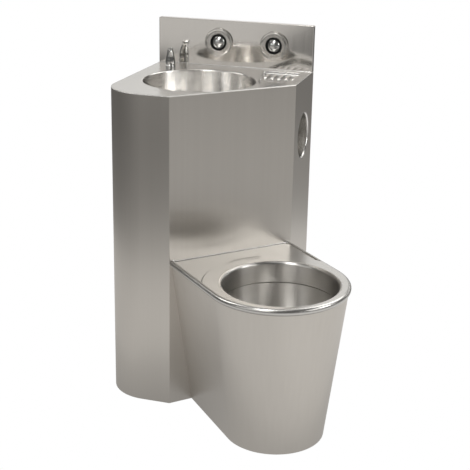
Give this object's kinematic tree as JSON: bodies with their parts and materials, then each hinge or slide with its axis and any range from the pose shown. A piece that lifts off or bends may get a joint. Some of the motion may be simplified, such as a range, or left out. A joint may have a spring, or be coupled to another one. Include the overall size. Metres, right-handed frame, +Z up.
{
  "type": "combined toilet and basin",
  "caption": "Stainless floor-standing cabinet with round basin, soap tray, bubbler and push-buttons, and a tapered toilet pan set at 45 degrees on its slanted front.",
  "frame": {"origin": "floor level in the wall plane, at the middle of the cabinet's width", "axes": "+X along the wall to the right as seen from the room, +Y into the wall, +Z up"},
  "size_m": [0.6948, 0.7078, 1],
  "materials": {
    "satin_sheet": "satin, fine upright grain",
    "polished_steel": "polished",
    "chrome_parts": "bright",
    "brass_body": "cast",
    "black_rubber": "matte",
    "grey_plastic": "moulded",
    "air_hose": "extruded",
    "steel_bolts": "plain"
  },
  "bodies": {
    "unit": {"left_wrap": "satin_sheet", "front_panel": "satin_sheet", "right_side": "satin_sheet", "top_deck": "satin_sheet", "splashback": "satin_sheet", "base_frame": "satin_sheet", "rear_angle_left": "satin_sheet", "rear_angle_right": "satin_sheet", "deck_channel": "satin_sheet", "panel_channel": "satin_sheet", "valve_rail": "satin_sheet", "basin_bowl": "polished_steel", "basin_strainer": "chrome_parts", "basin_waste": "chrome_parts", "waste_gasket": "black_rubber", "waste_nut": "brass_body", "basin_trap": "chrome_parts", "basin_outlet": "chrome_parts", "slip_nuts": "brass_body", "soap_tray": "satin_sheet", "bubbler": "chrome_parts", "bubbler_washer": "black_rubber", "bubbler_nut": "brass_body", "bubbler_pipe": "brass_body", "roll_can": "polished_steel", "button_flange_left": "chrome_parts", "button_flange_right": "chrome_parts", "button_ring_left": "black_rubber", "button_ring_right": "black_rubber", "bellows_left": "black_rubber", "bellows_right": "black_rubber", "air_capsule_left": "grey_plastic", "air_capsule_right": "grey_plastic", "capsule_nut_left": "brass_body", "capsule_nut_right": "brass_body", "air_tube_left": "air_hose", "air_tube_right": "air_hose", "basin_valve": "brass_body", "flush_valve": "brass_body", "flush_valve_cap": "grey_plastic", "cap_bolts": "steel_bolts", "valve_bracket": "satin_sheet", "supply_pipe": "brass_body", "supply_tee": "brass_body", "stop_valve": "brass_body", "flush_pipe": "polished_steel", "pan_deck": "satin_sheet", "pan_collar": "polished_steel", "pan_bowl": "polished_steel", "pan_trap": "polished_steel", "soil_coupling": "black_rubber", "soil_elbow": "polished_steel", "soil_pipe": "polished_steel", "soil_outlet": "polished_steel", "pan_skirt": "satin_sheet", "pan_base": "satin_sheet", "earth_stud": "brass_body"},
    "left_button": {"push_button_left": "chrome_parts"},
    "right_button": {"push_button_right": "chrome_parts"}
  },
  "joints": [
    {"name": "left_press", "type": "slide", "parent": "unit", "child": "left_button", "axis": [0, 1, 0], "range_m": [0, 0.004], "stiffness_N_per_m": 1200, "springref_m": -0.003, "deforming": ["bellows_left"]},
    {"name": "right_press", "type": "slide", "parent": "unit", "child": "right_button", "axis": [0, 1, 0], "range_m": [0, 0.004], "stiffness_N_per_m": 1200, "springref_m": -0.003, "deforming": ["bellows_right"]}
  ]
}
